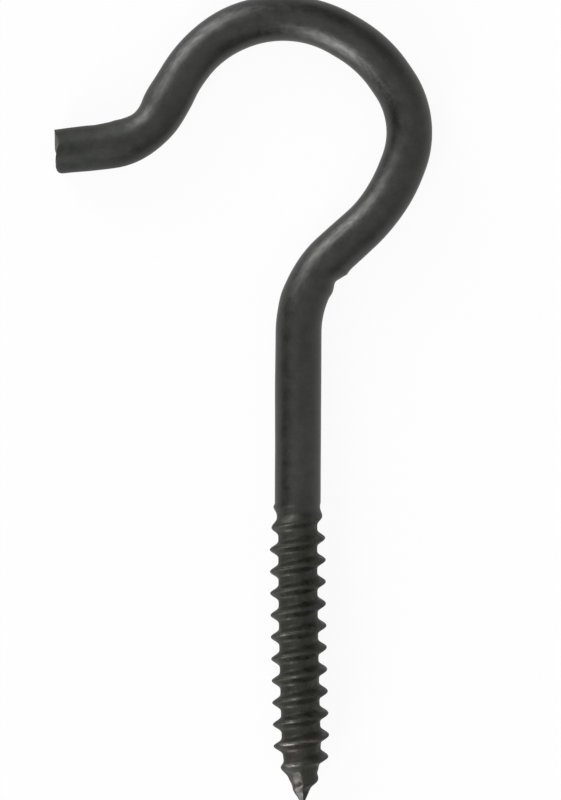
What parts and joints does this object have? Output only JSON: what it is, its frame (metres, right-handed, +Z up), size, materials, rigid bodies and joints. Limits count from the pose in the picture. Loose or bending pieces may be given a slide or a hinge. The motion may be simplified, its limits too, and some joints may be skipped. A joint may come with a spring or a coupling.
{
  "type": "screw hook",
  "caption": "Blackened steel screw hook: round wire bent to an open hook with a flared lip, with a wood-screw thread and gimlet point.",
  "frame": {"origin": "on the surface it lies on, under the middle of the box around it", "axes": "+Z up from that surface, +Y along the shank towards the hook's crown, +X towards the bow's back, away from the lip"},
  "size_m": [0.0495, 0.1056, 0.0075],
  "materials": {
    "blackened_steel": "satin black oxide on drawn steel wire"
  },
  "bodies": {
    "root": {"screw_hook": "blackened_steel"}
  },
  "joints": []
}
